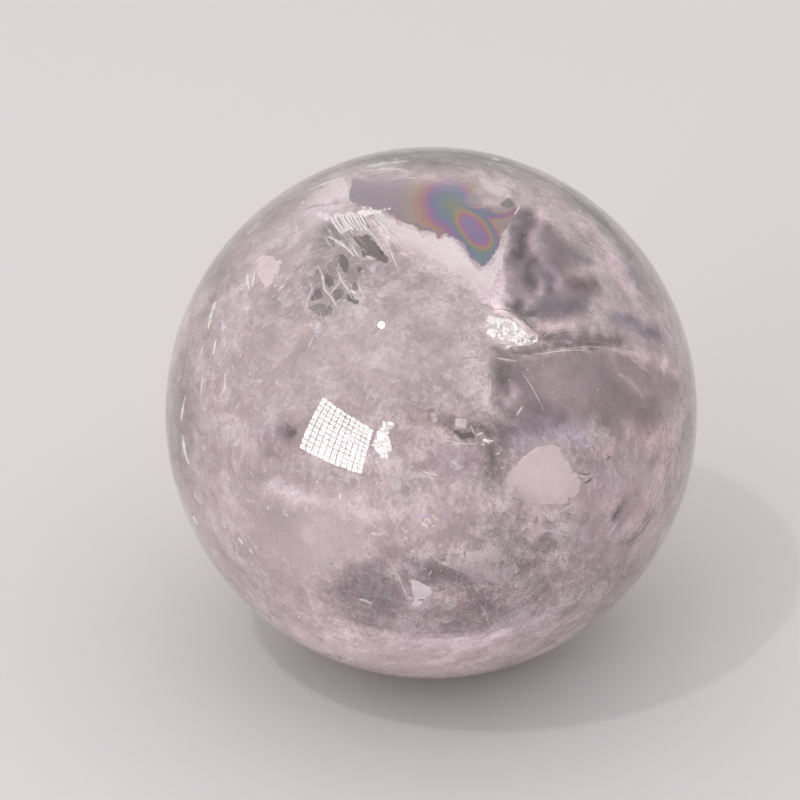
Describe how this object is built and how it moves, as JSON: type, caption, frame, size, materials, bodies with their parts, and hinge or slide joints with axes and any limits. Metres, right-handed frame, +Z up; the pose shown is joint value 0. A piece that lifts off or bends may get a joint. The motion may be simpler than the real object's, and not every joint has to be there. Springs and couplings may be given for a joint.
{
  "type": "quartz crystal ball",
  "caption": "Polished ball of clear rock quartz with milky inner veils and a small rainbow crack, standing on a small flat spot.",
  "frame": {"origin": "middle of the small flat spot that the ball stands on, on the surface below", "axes": "+Z up through the ball's centre; -Y faces the camera of the picture, +X is to its right"},
  "size_m": [0.06, 0.06, 0.0594],
  "materials": {
    "rock_quartz": "polished"
  },
  "bodies": {
    "root": {"crystal_ball": "rock_quartz"}
  },
  "joints": []
}
